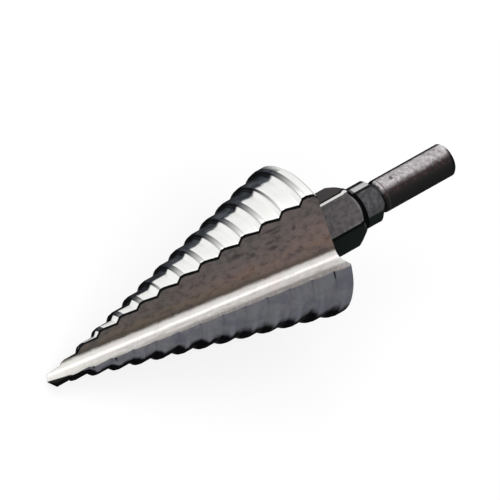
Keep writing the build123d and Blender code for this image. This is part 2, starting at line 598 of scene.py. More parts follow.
def lofted_cone(sizes, materials):
    """Mesh of the stepped cone, with land and flute faces and their distances in millimetres."""
    bm = bmesh.new()
    past_wall = bm.verts.layers.float.new("past_wall")
    to_heel = bm.verts.layers.float.new("to_heel")
    rows = []
    for row in cone_rows(sizes):
        verts = []
        for spot, past, heel in row:
            vert = bm.verts.new(spot)
            vert[past_wall] = past / MM
            vert[to_heel] = heel / MM
            verts.append(vert)
        rows.append(verts)
    last = len(rows[0]) - 1
    for k, face in skin(bm, rows):
        face.material_index = LAND if k <= LAND_COLUMNS or k == last else FLUTE
    bm.faces.new(list(reversed(rows[0])))
    rear = bm.faces.new(rows[-1])
    rear.material_index = REAR
    bmesh.ops.remove_doubles(bm, verts=bm.verts, dist=WELD)
    bmesh.ops.dissolve_degenerate(bm, edges=bm.edges, dist=WELD)
    mesh = closed_mesh(bm, "stepped_cone")
    return mesh_object("stepped_cone", mesh, materials, smooth_angle=40.0)


# The hex, collar and shank

HEX_SIDES = 6
# Columns of faces across each side of the hex.
SIDE_COLUMNS = 20
# Parts of the arc at the shank's front corner.
ARC_PARTS = 8


def hex_piece(sizes, materials):
    """Hex with its rear corners turned off."""
    side_turn = 2 * pi / HEX_SIDES
    front, rear = sizes.cone_rear, sizes.collar_start
    end_radius = sizes.hex_end_radius
    collar_radius = sizes.collar_diameter / 2 - sizes.edge_break
    bm = bmesh.new()
    rings = [[], [], [], []]
    for side in range(HEX_SIDES):
        for index in range(SIDE_COLUMNS):
            turn = side_turn * (index / SIDE_COLUMNS - 0.5)
            radius = sizes.hex_flats / 2 / cos(turn)
            chamfer = (radius - end_radius) / tan(sizes.hex_chamfer)
            around = turn + side_turn * side + sizes.hex_turn
            outline = (
                (front, radius),
                (rear - chamfer, radius),
                (rear, end_radius),
                (rear, collar_radius),
            )
            for ring, (height, reach) in zip(rings, outline):
                spot = (reach * cos(around), reach * sin(around), height)
                ring.append(bm.verts.new(spot))
    skin(bm, rings)
    bm.faces.new(list(reversed(rings[0])))
    bm.faces.new(rings[-1])
    mesh = closed_mesh(bm, "wrench_hex")
    return bevelled(mesh_object("wrench_hex", mesh, materials), sizes.edge_break)


def flat_cutter(sizes, index):
    """Block that cuts one of the collar's flats."""
    wide = sizes.collar_diameter
    middle = sizes.collar_start + sizes.collar_shoulder + sizes.collar_length / 2
    turn = sizes.flat_turn + 2 * pi / sizes.flat_count * index
    bm = bmesh.new()
    bmesh.ops.create_cube(bm, size=1.0)
    bmesh.ops.scale(bm, vec=(wide, 2 * wide, sizes.collar_length), verts=bm.verts)
    bmesh.ops.translate(bm, vec=(sizes.flat_distance + wide / 2, 0, middle), verts=bm.verts)
    bmesh.ops.rotate(bm, matrix=Matrix.Rotation(turn, 3, "Z"), verts=bm.verts)
    return new_object("cutter", mesh_from(bm, "cutter"))


def apply_modifiers(piece):
    """Make a piece's modifiers part of its mesh."""
    graph = bpy.context.evaluated_depsgraph_get()
    made = bpy.data.meshes.new_from_object(piece.evaluated_get(graph))
    piece.modifiers.clear()
    piece.data = made


def collar_piece(sizes, materials):
    """Round collar with milled flats, cut from a turned blank."""
    radius = sizes.collar_diameter / 2
    end_radius = radius - sizes.collar_chamfer
    outline = [
        (sizes.collar_start - SUNK, 0),
        (sizes.collar_start - SUNK, radius),
        (sizes.neck_start - sizes.collar_chamfer, radius),
        (sizes.neck_start, end_radius),
        (sizes.neck_start, 0),
    ]
    collar = lathe("collar", outline, materials, segments=192)
    collar.modifiers.clear()
    cutters = [flat_cutter(sizes, index) for index in range(sizes.flat_count)]
    for cutter in cutters:
        cut = collar.modifiers.new("flat", "BOOLEAN")
        cut.operation = "DIFFERENCE"
        cut.solver = "EXACT"
        cut.object = cutter
    apply_modifiers(collar)
    for cutter in cutters:
        bpy.data.meshes.remove(cutter.data)
    collar.data.name = "collar"
    collar.data.shade_smooth()
    collar.data.set_sharp_from_angle(angle=SHARP_EDGE)
    weigh_normals(collar)
    return bevelled(collar, sizes.edge_break)


def shank_piece(sizes, materials):
    """Neck, rounded front corner, plain shank and rear chamfer."""
    radius = sizes.shank_diameter / 2
    neck_radius = sizes.neck_diameter / 2
    start, end = sizes.shank_start, sizes.overall_length
    outline = [
        (sizes.neck_start - SUNK, 0),
        (sizes.neck_start - SUNK, neck_radius),
        (start, neck_radius),
    ]
    for index in range(ARC_PARTS + 1):
        turn = pi / 2 * index / ARC_PARTS
        height = start + sizes.shank_round * (1 - cos(turn))
        outline.append((height, radius - sizes.shank_round * (1 - sin(turn))))
    outline += [
        (end - sizes.shank_chamfer, radius),
        (end, radius - sizes.shank_chamfer),
        (end, 0),
    ]
    return bevelled(lathe("shank", outline, materials), sizes.edge_break)


# Nodes

# Places of the colour sockets of a mix node.
COLOUR_A, COLOUR_B, COLOUR_OUT = 6, 7, 2


class Value:
    """Output of a node, which can be reckoned with like a number."""

    def __init__(self, nodes, socket):
        self.nodes = nodes
        self.socket = socket

    def __add__(self, other):
        return self.nodes.math("ADD", self, other)

    def __sub__(self, other):
        return self.nodes.math("SUBTRACT", self, other)

    def __rsub__(self, other):
        return self.nodes.math("SUBTRACT", other, self)

    def __mul__(self, other):
        return self.nodes.math("MULTIPLY", self, other)

    def __truediv__(self, other):
        return self.nodes.math("DIVIDE", self, other)

    def __mod__(self, other):
        return self.nodes.math("FLOORED_MODULO", self, other)

    def __abs__(self):
        return self.nodes.math("ABSOLUTE", self)

    def ramp(self, low, high, to_low=0.0, to_high=1.0):
        """Smooth step between two values."""
        made = self.nodes.node("MapRange", interpolation_type="SMOOTHSTEP")
        for name, given in (
            ("Value", self),
            ("From Min", low),
            ("From Max", high),
            ("To Min", to_low),
            ("To Max", to_high),
        ):
            self.nodes.feed(made.inputs[name], given)
        return Value(self.nodes, made.outputs["Result"])

    def fall(self, low, high):
        """Smooth step from 1 down to 0."""
        return self.ramp(low, high, 1.0, 0.0)

    def band(self, low, high, soft):
        """1 between low and high, with ends that fade over a width."""
        rise = self.ramp(low - soft / 2, low + soft / 2)
        return rise * self.fall(high - soft / 2, high + soft / 2)


class Coats:
    """Colour built up in coats, each laid over the last by its share."""

    def __init__(self, nodes, colour):
        self.nodes = nodes
        self.tone = colour

    def lay(self, colour, *shares):
        """Lay a colour over the rest, by the product of its shares."""
        share = shares[0]
        for more in shares[1:]:
            share = share * more
        over = colour.tone if isinstance(colour, Coats) else colour
        self.tone = self.nodes.mix(share, self.tone, over)


class Nodes:
    """Short way to write a node tree."""

    def __init__(self, tree):
        self.tree = tree

    def feed(self, socket, value):
        """Link a socket to a value, or set it to a number or a colour."""
        if isinstance(value, Value):
            self.tree.links.new(value.socket, socket)
        elif socket.type == "RGBA":
            socket.default_value = (*value[:3], 1.0)
        else:
            socket.default_value = value

    def node(self, kind, **settings):
        """New node of a kind, with its settings."""
        made = self.tree.nodes.new("ShaderNode" + kind)
        for name, value in settings.items():
            setattr(made, name, value)
        return made

    def math(self, operation, *values):
        """Result of an operation on values or numbers."""
        made = self.node("Math", operation=operation)
        for socket, value in zip(made.inputs, values):
            self.feed(socket, value)
        return Value(self, made.outputs[0])

    def most(self, first, *others):
        """Greatest of the values."""
        for other in others:
            first = self.math("MAXIMUM", first, other)
        return first

    def mix(self, share, under, over):
        """Mix of two colours."""
        made = self.node("Mix", data_type="RGBA")
        self.feed(made.inputs["Factor"], share)
        self.feed(made.inputs[COLOUR_A], under)
        self.feed(made.inputs[COLOUR_B], over)
        return Value(self, made.outputs[COLOUR_OUT])

    def attribute(self, name):
        """Number that each point of the mesh carries under a name."""
        return Value(self, self.node("Attribute", attribute_name=name).outputs["Fac"])

    def seen(self):
        """1 where the camera or a reflection looks, 0 where light only falls."""
        path = self.node("LightPath")
        rays = ("Is Camera Ray", "Is Glossy Ray", "Is Transmission Ray")
        return self.most(*(Value(self, path.outputs[ray]) for ray in rays))

    def noise(self, place, scale=1.0, detail=3.0, rough=0.5):
        """Cloudy pattern over a place, given as a value or as three of them."""
        if isinstance(place, tuple):
            joined = self.node("CombineXYZ")
            for socket, value in zip(joined.inputs, place):
                self.feed(socket, value)
            place = Value(self, joined.outputs[0])
        made = self.node("TexNoise")
        for name, value in (
            ("Vector", place),
            ("Scale", scale),
            ("Detail", detail),
            ("Roughness", rough),
        ):
            self.feed(made.inputs[name], value)
        return Value(self, made.outputs["Fac"])


class Shader(Nodes):
    """A material's nodes.

    Places are on the drill's own axis: height and radius in mm, turn in degrees from the cutting
    edge, and across in mm towards it.
    """

    def __init__(self, name, specular=0.5, specular_tint=1.0):
        self.material = bpy.data.materials.new(name)
        self.material.use_nodes = True
        super().__init__(self.material.node_tree)
        self.tree.nodes.clear()
        output = self.tree.nodes.new("ShaderNodeOutputMaterial")
        self.surface = self.tree.nodes.new("ShaderNodeBsdfPrincipled")
        self.tree.links.new(self.surface.outputs["BSDF"], output.inputs["Surface"])
        self.surface.inputs["Specular IOR Level"].default_value = specular
        self.surface.inputs["Specular Tint"].default_value = (*(specular_tint,) * 3, 1.0)

    def lay_out(self):
        """Make ready the places on the drill's own axis."""
        own = self.node("Attribute", attribute_name="own_place").outputs["Vector"]
        self.here = Value(self, own)
        split = self.node("SeparateXYZ")
        self.feed(split.inputs[0], self.here)
        x, y, z = (Value(self, socket) for socket in split.outputs)
        spoke = self.math("ARCTAN2", y, x)
        self.turn = spoke * (180 / pi)
        self.height = z / MM
        self.radius = self.math("SQRT", x * x + y * y) / MM
        self.across = x / MM
        self.around = (self.math("COSINE", spoke), self.math("SINE", spoke))

    def ring(self, spread, along):
        """Place on a ring round the axis, for a pattern that closes on itself."""
        return (self.around[0] * spread, self.around[1] * spread, self.height * along)

    def paint(self, colour, metal, rough):
        """Give the surface its colour, its metal look and its roughness."""
        self.feed(self.surface.inputs["Base Color"], colour)
        self.feed(self.surface.inputs["Metallic"], metal)
        self.feed(self.surface.inputs["Roughness"], rough)

    def bump(self, height, depth, strength):
        """Fine relief of a depth in mm."""
        made = self.node("Bump")
        self.feed(made.inputs["Distance"], depth * MM)
        self.feed(made.inputs["Strength"], strength)
        self.feed(made.inputs["Height"], height)
        self.feed(self.surface.inputs["Normal"], Value(self, made.outputs[0]))


# Finishes
#
# Numbers in them are degrees for a turn, mm for a height, a radius and the distances "behind" a
# step's corner and "past" the heel wall, and levels from 0 to 1 for a pattern. The last two of a
# ramp are the shares that it runs from and to.

# Tints of the ground lands. The bevel tones, lit and shaded, are painted reflections.
LAND_BLUE = (0.132, 0.133, 0.160)
LAND_GREEN = (0.150, 0.166, 0.166)
LAND_CLOUD = (0.10, 0.10, 0.108)
LAND_BEVEL = (0.24, 0.245, 0.28)
LAND_DUSK = (0.078, 0.084, 0.092)
LAND_WARM = (0.78, 0.77, 0.75)
BEVEL_SHADED = (0.085, 0.088, 0.093)
BEVEL_LIT = (0.68, 0.68, 0.67)
BEVEL_LINE_SHADED = (0.025, 0.026, 0.030)
BEVEL_LINE_LIT = (0.56, 0.56, 0.55)
# How far before its corner, in steps, the pattern of each step starts.
STEP_LEAD = 0.1


def lands_behind_lip(s, finish, behind, wander, tint, cloud):
    """Lands behind the cutting edge: a painted grey reflection, then painted shade, black, where
    they turn down.
    """
    height, turn = s.height, s.turn
    grey = Coats(s, finish.land_grey_reflection)
    grey.lay(LAND_BLUE, tint.ramp(0.42, 0.6))
    grey.lay(LAND_GREEN, tint.ramp(0.44, 0.32, 0.0, 0.6))
    grey.lay(LAND_CLOUD, cloud.ramp(0.35, 0.7, 0.0, 0.3))
    bevel = behind.band(0.0, 1.2, 0.5)
    # Painted reflection: the bevels on these lands show a lighter grey, more so away from the
    # cutting edge.
    grey.lay(LAND_BEVEL, bevel, turn.ramp(5.0, 25.0, 0.04, 0.2))

    # Painted shade: past the turn where the lands face down, they go black.
    turn_down = height.ramp(15.0, 84.0, 23.0, 38.0) + height.ramp(6.5, 15.0, -36.0, 0.0)
    past_turn_down = turn + wander * 22.0 + bevel * -3.0 - turn_down
    grey.lay(finish.black, past_turn_down.ramp(-5.0, 7.0))

    foot = behind.band(4.9, 5.25, 0.3)
    last_nick = foot * turn.fall(4.0, 10.0) * height.ramp(78.0, 80.0)
    front_nick = behind.band(-0.55, -0.2, 0.3) * turn.fall(5.0, 14.0) * height.ramp(24.0, 22.0)
    # The nicks are marks on the edge; the faint black line at each riser's foot is painted shade
    # in its crease.
    foot_crease_shade = foot * turn.ramp(0.0, 30.0, 0.22, 0.0)
    grey.lay(finish.black, s.most(last_nick, front_nick, foot_crease_shade))
    return grey


def lands_before_heel(s, finish, steps, behind, bright, tint, cloud):
    """Lands towards the heel: a painted dark reflection band, then a painted bright reflection,
    with painted reflection tones on the bevel at each corner.
    """
    height, turn = s.height, s.turn
    dark = Coats(s, finish.land_dark_reflection_and_lines)
    dark.lay(LAND_DUSK, tint.ramp(0.4, 0.62))
    # Painted dark reflection: the band goes black towards the point.
    dark.lay(finish.black, height.ramp(28.0, 46.0, 0.8, 0.0))
    # Painted shade on the upper part of each riser and at its corner.
    riser_shade = s.most(behind.band(5.4, 6.4, 0.4), behind.band(-0.6, 0.15, 0.3))
    dark.lay(finish.black, riser_shade, 0.9)
    # Painted dark reflection, black, along the outline where the lands turn away.
    dark.lay(finish.black, turn.ramp(-120.0, -106.0, 0.9, 0.0))

    # Painted reflections on the bevels: shaded tones away from the heel, lit tones towards it,
    # with darker lines at their ends.
    toward_heel = turn.ramp(-98.0, -66.0)
    every_sixth = s.math("COMPARE", s.math("FLOOR", steps) % 6.0, 5.0, 0.1)
    plain_bevel = every_sixth * behind.ramp(0.35, 0.5)
    bevel = behind.band(-0.25, 1.25, 0.35) * (1.0 - plain_bevel)
    rim_lines = s.most(behind.band(-0.25, 0.1, 0.25), behind.band(1.0, 1.25, 0.22))
    white = Coats(s, finish.land)
    white.lay(LAND_WARM, cloud.ramp(0.35, 0.75, 0.0, 0.2))
    white.lay(s.mix(toward_heel, BEVEL_SHADED, BEVEL_LIT), bevel)
    white.lay(s.mix(toward_heel, BEVEL_LINE_SHADED, BEVEL_LINE_LIT), rim_lines, bevel)
    dark.lay(white, bright)
    return dark


def land_finish(sizes, finish):
    """Ground land with fine grinding lines, and painted bands of a polished cone's reflections."""
    s = Shader("ground_land", specular=0.0, specular_tint=0.3)
    s.lay_out()
    height, turn = s.height, s.turn
    lines = s.noise(s.ring(1.2, 7.0), 1.0, 5.0, 0.65)
    wander = s.noise(s.ring(2.0, 0.33)) - 0.5
    tint = s.noise(s.ring(3.0, 0.2), 1.3, 3.0, 0.6)
    cloud = s.noise(s.here, 420.0, 4.0, 0.6)
    pitch = sizes.step_pitch / MM
    steps = (height - sizes.first_corner / MM) / pitch + STEP_LEAD
    behind = (steps % 1.0 - STEP_LEAD) * pitch

    lip_side = turn.ramp(-1.0, 0.0)
    heel_side = turn.fall(-1.0, 0.0)
    far = abs(turn).ramp(62.0, 108.0)
    far_from_lip = far * turn.ramp(0.0, 1.0)
    far_from_heel = turn.fall(-165.0, -132.0) * heel_side
    # Painted reflections: the lands are dark up to this turn and bright past it, and the last land
    # is bright near the rear.
    dark_until = height.ramp(16.0, 38.0, -112.0, -96.0) + wander * 9.0
    rear = sizes.cone_rear / MM
    last_land = height.ramp(rear - 3.1, rear - 0.7) * turn.ramp(-122.0, -100.0)
    bright = s.most((turn - dark_until).ramp(-2.0, 2.5), last_land)

    lower = lands_behind_lip(s, finish, behind, wander, tint, cloud)
    lower.lay(finish.land_mid, far_from_lip)
    upper = lands_before_heel(s, finish, steps, behind, bright, tint, cloud)
    upper.lay(finish.land_mid, far_from_heel)
    border = s.attribute("to_heel") + (cloud - 0.5) * 0.25 + height.ramp(30.0, 50.0, -0.2, 0.0)
    upper.lay(finish.black, border.fall(0.22, 0.4))
    upper.lay(lower, lip_side)
    upper.lay(finish.land_dark_reflection_and_lines, lines.ramp(0.3, 0.8, 0.0, 0.14))

    shine = s.most(bright * heel_side, far_from_lip, far_from_heel)
    s.paint(upper.tone, shine * 0.75 + 0.12, cloud.ramp(0.3, 0.7, 0.27, 0.36))
    s.bump(lines, 0.012, 0.35)
    return s.material


# Tints of the heel wall.
WALL_RUST = (0.20, 0.115, 0.072)
WALL_TOWARDS_POINT = (0.072, 0.068, 0.061)
WALL_TEA = (0.140, 0.100, 0.064)
WALL_OUTER_SHADE = (0.082, 0.074, 0.068)
WALL_SPECK = (0.20, 0.18, 0.17)
WALL_GRAIN = (0.075, 0.066, 0.062)
WALL_PALE_MOTTLE = (0.158, 0.128, 0.120)
WALL_DARK_MOTTLE = (0.058, 0.052, 0.053)
WALL_MARK = (0.040, 0.033, 0.037)
WALL_FOOT = (0.070, 0.060, 0.045)
# Dark handling marks on the heel wall: height, mm past the wall, half length, half width.
WALL_MARKS = (
    (71.5, -12.1, 2.4, 0.5),
    (73.0, -11.1, 1.6, 0.4),
    (70.6, -9.0, 1.6, 0.5),
    (70.8, -7.1, 1.5, 0.6),
    (65.0, -7.6, 0.8, 0.7),
    (77.8, -10.2, 0.6, 0.7),
    (60.5, -9.0, 1.4, 0.8),
)


def heel_wall_tone(s, finish, past, fine):
    """Satin brown-grey heel wall, with temper tints by the root, painted shade on its outer part
    and a black border at its rim.
    """
    height = s.height
    large = s.noise((height * 0.07, past * 0.16, 4.0), 1.0, 4.0, 0.55)
    smear = s.noise((height * 0.2, past * 0.5, 9.0), 1.0, 2.0, 0.5)
    speck = s.noise((height * 0.45, past * 0.6, 2.0), 1.0, 4.0, 0.6)
    wall = Coats(s, finish.wall_grey)
    wall.lay(finish.wall, large.ramp(0.38, 0.62))

    by_root = (past + height.ramp(65.0, 84.0, 0.0, 4.5)).ramp(-9.0, -1.5)
    upward = height.ramp(20.0, 55.0, 0.45, 0.85)
    wall.lay(finish.wall_brown, by_root, upward, speck.ramp(0.3, 0.65, 0.5, 1.0))
    rust_stretch = height.ramp(34.0, 50.0)
    wall.lay(WALL_RUST, past.band(-4.8, -1.6, 1.6), rust_stretch, large.ramp(0.45, 0.62), 0.45)
    wall.lay(finish.wall_straw, past.ramp(-4.0, -0.8), height.ramp(62.0, 25.0, 0.25, 0.9))
    # Darker towards the point.
    wall.lay(WALL_TOWARDS_POINT, height.ramp(62.0, 30.0), 0.85)
    tea_stretch = height.ramp(14.0, 28.0) * height.ramp(70.0, 56.0)
    mottled = speck.ramp(0.3, 0.6, 0.5, 1.0)
    wall.lay(WALL_TEA, past.band(-2.9, -0.5, 1.2), tea_stretch, mottled, 0.75)
    # Painted shade on the outer part of the heel wall, towards its rim.
    wall.lay(WALL_OUTER_SHADE, past.ramp(-9.0, -13.0), large.ramp(0.3, 0.6, 1.0, 0.5), 0.7)

    wall.lay(finish.wall_smear, smear.ramp(0.5, 0.72), height.ramp(30.0, 60.0, 0.35, 0.8))
    wall.lay(WALL_SPECK, speck.ramp(0.66, 0.76, 0.0, 0.5))
    wall.lay(WALL_GRAIN, fine.ramp(0.3, 0.75, 0.0, 0.35))
    wall.lay(WALL_PALE_MOTTLE, speck.ramp(0.36, 0.64, 0.0, 0.5))
    wall.lay(WALL_DARK_MOTTLE, speck.ramp(0.48, 0.34, 0.0, 0.45))
    ragged_height = height + (speck - 0.5) * 1.5
    ragged_past = past + (fine - 0.5) * 0.6
    for mark_height, mark_past, half_length, half_width in WALL_MARKS:
        along = (ragged_height - mark_height) / half_length
        across = (ragged_past - mark_past) / half_width
        wall.lay(WALL_MARK, (along * along + across * across).ramp(0.2, 1.3, 0.6, 0.0))

    wall.lay(WALL_FOOT, past.band(-1.2, -0.2, 0.8), speck.ramp(0.35, 0.65, 0.2, 0.7))
    from_rim = s.attribute("to_heel") + (fine - 0.5) * 0.35 + height.ramp(28.0, 50.0, 0.25, 0.0)
    wall.lay(finish.black, from_rim.fall(0.48, 0.72), past.fall(-0.6, -0.3))
    return wall


# Tints of the polished rake face.
RAKE_WARM = (0.76, 0.70, 0.685)
RAKE_PATCH = (0.52, 0.50, 0.475)
RAKE_GRAZE = (0.26, 0.245, 0.235)
RAKE_ROOT = (0.50, 0.48, 0.465)
RAKE_FRONT = (0.82, 0.81, 0.76)
RAKE_BY_LIP = (0.26, 0.24, 0.235)
RAKE_TEETH = (0.175, 0.163, 0.163)
# How far, in mm, the dark of the teeth keeps from the line of the feet.
TEETH_CLEAR = 0.3


def rake_face_tone(s, sizes, finish, past, fine, brushed, patch):
    """Polished root and rake face, brushed aslant, duller towards the cutting edge."""
    height = s.height
    cast = s.noise((height * 0.35, past * 0.3, 3.0))
    grazes = s.noise((height * 0.5, past * 2.6, 12.0), 1.0, 3.0, 0.6)
    rake = Coats(s, finish.rake)
    rake.lay(RAKE_WARM, cast.ramp(0.38, 0.62))
    dull = past.ramp(1.0, 4.5, 0.35, 1.0) * brushed.ramp(0.34, 0.66)
    rake.lay(finish.rake_dull, s.most(dull, past.ramp(0.3, 1.0, 0.9, 0.0)))
    rake.lay(RAKE_PATCH, patch.ramp(0.48, 0.66), past.ramp(0.5, 5.0, 0.35, 0.75))
    rake.lay(RAKE_GRAZE, grazes.ramp(0.64, 0.74, 0.0, 0.5))
    rake.lay(RAKE_ROOT, past.ramp(0.1, 1.1, 0.7, 0.0))
    rake.lay(RAKE_FRONT, height.ramp(26.0, 10.0), 0.55)
    by_lip = (past + height * -0.012).ramp(3.6, 5.2)
    upward = height.ramp(20.0, 45.0, 0.2, 0.85)
    rake.lay(RAKE_BY_LIP, by_lip, upward, brushed.ramp(0.3, 0.6, 0.55, 1.0))

    # The teeth of the cutting edge are darker beyond a line that runs along the feet of the steps.
    rise = sizes.diameter_rise / 2
    riser = (rise - sizes.bevel_rise) / tan(sizes.riser_angle)
    first_foot = (sizes.first_corner + sizes.step_pitch - riser) / MM
    foot_radius = sizes.first_diameter / 2 / MM
    feet = (height - first_foot) * (rise / sizes.step_pitch) + (foot_radius + TEETH_CLEAR)
    beyond_feet = (s.across + (fine - 0.5) * 0.5 - feet).ramp(-0.25, 0.45)
    rake.lay(RAKE_TEETH, beyond_feet, height.ramp(10.0, 20.0))
    under_point = (past - height * 0.2).ramp(3.7, 4.1)
    rake.lay(finish.black, under_point, height.ramp(6.5, 5.8))
    return rake


def flute_finish(sizes, finish):
    """Satin brown-grey heel wall that turns into the polished root and rake face."""
    s = Shader("flute_wall_and_rake", specular=0.05, specular_tint=0.6)
    s.lay_out()
    height = s.height
    past = s.attribute("past_wall")
    fine = s.noise(s.here, 900.0, 4.0, 0.6)
    aslant = height + past * 0.67
    brushed = s.noise((aslant * 1.6, past * 0.18, 0.0), 1.0, 5.0, 0.65)
    patch = s.noise((height * 0.22, past * 0.8, 7.0), 1.0, 4.0, 0.6)
    wavering = past + (patch - 0.5) * 1.1 + (fine - 0.5) * 0.5
    on_rake = wavering.ramp(-0.45, 0.55)
    tone = heel_wall_tone(s, finish, past, fine)
    tone.lay(rake_face_tone(s, sizes, finish, past, fine, brushed, patch), on_rake)
    s.paint(tone.tone, on_rake.ramp(0.0, 1.0, 0.2, 0.3), on_rake.ramp(0.0, 1.0, 0.45, 0.3))
    s.bump(s.mix(on_rake, fine, brushed), 0.03, 0.5)
    return s.material


def rear_finish(finish):
    """Turned rear face of the cone, dark with fine rings."""
    s = Shader("turned_rear_face", specular=0.2)
    s.lay_out()
    rings = s.noise((s.radius, 0.0, 0.0), 6.0, 4.0, 0.7)
    s.paint(s.mix(rings.ramp(0.3, 0.7), finish.oxide_black_and_shade, finish.oxide), 0.5, 0.4)
    s.bump(rings, 0.02, 0.5)
    return s.material


# Tints of the black oxide, and the highlights and shade painted on it.
OXIDE_DULL = (0.078, 0.072, 0.074)
OXIDE_PALE = (0.128, 0.116, 0.123)
HEX_RIM_HIGHLIGHT = (0.30, 0.28, 0.28)
HEX_CORNER_HIGHLIGHT = (0.30, 0.29, 0.29)
FLAT_GREY = (0.066, 0.064, 0.068)
FLAT_PALE = (0.115, 0.112, 0.118)
FLAT_PALEST = (0.14, 0.135, 0.145)
FLAT_DARK = (0.030, 0.029, 0.031)
COLLAR_HIGHLIGHT = (0.55, 0.53, 0.54)
COLLAR_END_LIT = (0.105, 0.102, 0.108)
SHANK_BROWN = (0.028, 0.024, 0.024)
SHANK_LOWER_SHADE = (0.0150, 0.0155, 0.0150)
SHANK_RED = (0.058, 0.035, 0.038)
SHANK_UPPER = (0.030, 0.029, 0.030)
SHANK_UPPER_LINES = (0.075, 0.070, 0.072)
# Tones within the shank's painted highlight.
SHINE_STREAK = (0.31, 0.285, 0.29)
SHINE_PALE_SPOT = (0.72, 0.69, 0.70)
SHINE_DARK_SPOT = (0.20, 0.17, 0.175)
SHINE_LINES = (0.66, 0.63, 0.64)
SHINE_END = (0.72, 0.70, 0.71)
SHINE_EDGE = (0.30, 0.27, 0.28)
SHANK_UNDER_HIGHLIGHT = (0.25, 0.235, 0.24)
END_FACE_DARK = (0.034, 0.031, 0.032)
END_FACE_PALE = (0.060, 0.055, 0.056)
SHANK_RING = (0.05, 0.046, 0.048)
SHANK_DENT = (0.055, 0.048, 0.05)


def oxide_shader(name):
    """Shader, cloudy pattern and fine turned grain that the black finishes share."""
    s = Shader(name, specular=0.0, specular_tint=0.3)
    s.lay_out()
    return s, s.noise(s.here, 700.0, 4.0, 0.6)


def oxide_grain(s, cloud):
    """Fine relief of a turned and blackened surface."""
    grain = s.noise((s.turn * 0.05, 3.0, s.height * 2.5), 1.0, 5.0, 0.6)
    s.bump(s.mix(0.5, grain, cloud), 0.02, 0.5)


def hex_finish(sizes, finish):
    """Black oxide on the hex, with painted shade and painted highlights along its edges."""
    s, cloud = oxide_shader("hex_oxide")
    height, turn = s.height, s.turn
    tone = Coats(s, s.mix(cloud.ramp(0.35, 0.65, 0.0, 0.85), OXIDE_DULL, OXIDE_PALE))
    # Painted shade: the lower face is deep black and the face at the top a darker brown.
    tone.lay(finish.oxide_black_and_shade, turn.ramp(-12.0, -6.0))
    tone.lay(finish.oxide_shaded_top, turn.fall(-74.0, -68.5))

    # The turned chamfer is painted black as shade; it starts sooner at the corners than at the
    # middles of the flats.
    side = 360.0 / HEX_SIDES
    half = side / 2
    from_corner = (turn - (degrees(sizes.hex_turn) - side)) % side - half
    off_middle = (half - abs(from_corner)) / half
    rear = sizes.collar_start / MM
    past_line = height - ((rear - 0.7) - off_middle * off_middle)
    chamfer = past_line.ramp(-0.1, 0.25)
    tone.lay(finish.black, chamfer)
    # Painted highlight in patches along the rim just before the chamfer, fainter towards the lower
    # face.
    highlight_patches = cloud.ramp(0.42, 0.58, 0.2, 1.0)
    tone.lay(HEX_RIM_HIGHLIGHT, past_line.band(-0.75, -0.05, 0.3), highlight_patches, turn.ramp(-12.0, -4.0, 0.5, 0.1))

    # The upper corner has a painted highlight, along a line that bends off at the chamfer.
    # Above it is painted shade, black.
    past_bend = s.math("MAXIMUM", height - (rear - 3.3), 0.0)
    from_line = past_bend * 4.1 + from_corner
    upper_corner = turn.fall(-60.0, -50.0) * turn.ramp(-100.0, -90.0)
    tone.lay(finish.black, from_line.band(-13.5, -8.0, 2.0), upper_corner, 0.85)
    before_rear = height.fall(rear - 1.4, rear - 0.4)
    tone.lay(finish.edge, from_line.band(-7.5, 0.2, 1.5), upper_corner, before_rear)
    # Painted highlight along the lower corner, and painted shade, black, just past it.
    lower_corner = turn.ramp(-30.0, -25.0) * turn.fall(25.0, 30.0)
    off_chamfer = chamfer.ramp(0.0, 1.0, 0.3, 0.0)
    tone.lay(HEX_CORNER_HIGHLIGHT, from_corner.band(-2.2, -0.2, 1.0), lower_corner, highlight_patches, off_chamfer)
    tone.lay(finish.black, from_corner.band(1.0, 8.0, 2.0), lower_corner, 0.8)
    s.paint(tone.tone, (1.0 - chamfer) * 0.15, cloud.ramp(0.3, 0.7, 0.38, 0.5))
    oxide_grain(s, cloud)
    return s.material


def collar_finish(sizes, finish):
    """Black oxide on the collar, with grey milled flats, a painted highlight and painted shade."""
    s, cloud = oxide_shader("collar_oxide")
    height, turn = s.height, s.turn
    mottle = s.noise(s.here, 600.0, 4.0, 0.6)
    lit = turn.fall(0.0, 12.0)
    flat = Coats(s, FLAT_GREY)
    # Painted shade: the flats go deep black past turn 0, towards the lower side.
    flat.lay(finish.oxide_black_and_shade, turn.ramp(0.0, 12.0))
    flat.lay(FLAT_PALE, mottle.ramp(0.45, 0.65), lit)
    flat.lay(FLAT_DARK, mottle.ramp(0.42, 0.3), 0.6)
    flat.lay(FLAT_PALEST, mottle.ramp(0.6, 0.7), lit, 0.6)

    start, end = sizes.collar_start / MM, sizes.neck_start / MM
    shoulder = height.fall(start + 1.1, start + 1.3)
    # Painted highlight along the upper side of the collar, weaker on the shoulder.
    shine = turn.band(-94.0, -74.0, 8.0) * (1.0 - shoulder * 0.8)
    tone = Coats(s, finish.oxide_black_and_shade)
    tone.lay(COLLAR_HIGHLIGHT, shine)
    # Painted light and shade on the rear chamfer: grey above, deep black below.
    end_tone = s.mix(turn.ramp(-8.0, 4.0), COLLAR_END_LIT, finish.oxide_black_and_shade)
    tone.lay(end_tone, height.ramp(end - 2.2, end - 1.8), turn.ramp(-78.0, -66.0))
    radius = sizes.collar_diameter / 2 / MM
    milled = s.radius.fall(radius - 0.12, radius - 0.02)
    tone.lay(flat, milled, 1.0 - shoulder)
    # Painted shade, black, along the upper edge of the flats and on the lower side of the
    # shoulder.
    tone.lay(finish.black, turn.band(-76.0, -69.0, 2.5), 0.9)
    tone.lay(finish.black, shoulder, turn.ramp(-75.0, -65.0))
    s.paint(tone.tone, shine * 0.5 + 0.08, cloud.ramp(0.3, 0.7, 0.36, 0.48))
    oxide_grain(s, cloud)
    return s.material


